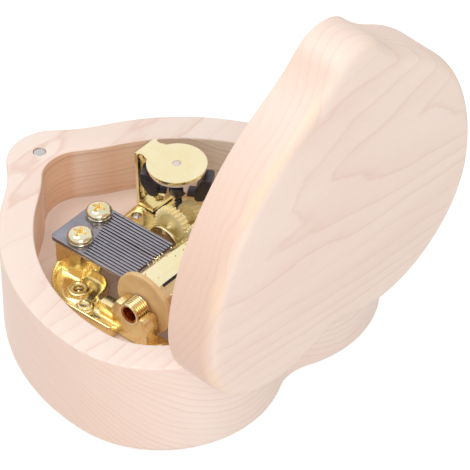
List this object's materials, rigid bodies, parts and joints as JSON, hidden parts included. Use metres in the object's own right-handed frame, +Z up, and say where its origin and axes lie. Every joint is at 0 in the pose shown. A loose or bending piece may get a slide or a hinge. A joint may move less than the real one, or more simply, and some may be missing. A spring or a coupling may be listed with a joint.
{
  "type": "musical box",
  "caption": "Heart-shaped wooden box with a hinged lid, a spring-wound pin-drum and comb musical movement in its pocket and a winding key recessed in the underside.",
  "frame": {"origin": "on the box's flat underside, below the middle of the pocket, on the heart's line of symmetry", "axes": "+Z up, the heart's tip points along -Y, the lobes and the lid's hinge lie towards +Y, +X is to the right seen from the tip; the lid is stored open"},
  "size_m": [0.0912, 0.1083, 0.1108],
  "materials": {
    "maple": "fine-sanded pale wood with a thin matt varnish",
    "gilt": "polished, gold coloured",
    "steel": "ground dark spring steel",
    "bright_steel": "bright, nickel-plated",
    "nylon": "moulded, cream coloured",
    "black_plastic": "moulded, black",
    "pale_plastic": "smooth, pale"
  },
  "bodies": {
    "case": {"base_box": "maple", "base_magnet": "bright_steel", "hinge_base_barrel_left": "gilt", "hinge_base_barrel_right": "gilt", "hinge_pin_left": "bright_steel", "hinge_pin_right": "bright_steel", "bedplate": "gilt", "bedplate_stud": "gilt", "threaded_bush": "gilt", "comb": "steel", "comb_screw_near": "gilt", "comb_screw_far": "gilt", "train_plate_near": "gilt", "train_plate_far": "gilt", "governor_bracket": "gilt", "governor_jewel": "pale_plastic", "bracket_rivet": "gilt", "spring_housing": "gilt", "mainspring": "steel", "mounting_screw_near": "bright_steel", "mounting_screw_rear": "bright_steel", "mounting_screw_far": "bright_steel"},
    "lid": {"lid": "maple", "lid_magnet": "bright_steel", "hinge_lid_barrel_left": "gilt", "hinge_lid_barrel_right": "gilt"},
    "drum": {"drum": "gilt", "drum_end_cap": "nylon", "drum_gear": "nylon", "drum_arbor": "bright_steel"},
    "idler": {"idler_gear": "nylon"},
    "wheel": {"worm_wheel": "nylon"},
    "governor": {"governor_spindle": "black_plastic", "governor_wing_left": "black_plastic", "governor_wing_right": "black_plastic", "governor_ring": "pale_plastic"},
    "winder": {"great_wheel": "gilt", "winding_arbor": "bright_steel", "winding_key": "bright_steel"}
  },
  "joints": [
    {"name": "lid_hinge", "type": "hinge", "parent": "case", "child": "lid", "pos_m": [0, 0.0369, 0.02505], "axis": [1, 0, 0], "range_deg": [0, 95.5]},
    {"name": "drum_spin", "type": "hinge", "parent": "case", "child": "drum", "pos_m": [0, 0.0081, 0.0196], "axis": [1, 0, 0], "continuous": true},
    {"name": "idler_spin", "type": "hinge", "parent": "case", "child": "idler", "pos_m": [0, -0.00407, 0.02101], "axis": [1, 0, 0], "continuous": true},
    {"name": "wheel_spin", "type": "hinge", "parent": "case", "child": "wheel", "pos_m": [0, -0.0078, 0.0153], "axis": [1, 0, 0], "continuous": true},
    {"name": "governor_spin", "type": "hinge", "parent": "case", "child": "governor", "pos_m": [-0.0153, -0.012, 0.0196], "axis": [0, 0, 1], "continuous": true},
    {"name": "winding_spin", "type": "hinge", "parent": "case", "child": "winder", "pos_m": [-0.0196, 0.0081, 0.015], "axis": [0, 0, 1], "continuous": true}
  ],
  "couplings": [
    {"joint": "idler_spin", "follows": "drum_spin", "ratio": -1.5926},
    {"joint": "wheel_spin", "follows": "drum_spin", "ratio": 3.5833},
    {"joint": "governor_spin", "follows": "drum_spin", "ratio": 39.417},
    {"joint": "winding_spin", "follows": "drum_spin", "ratio": 0.275}
  ]
}
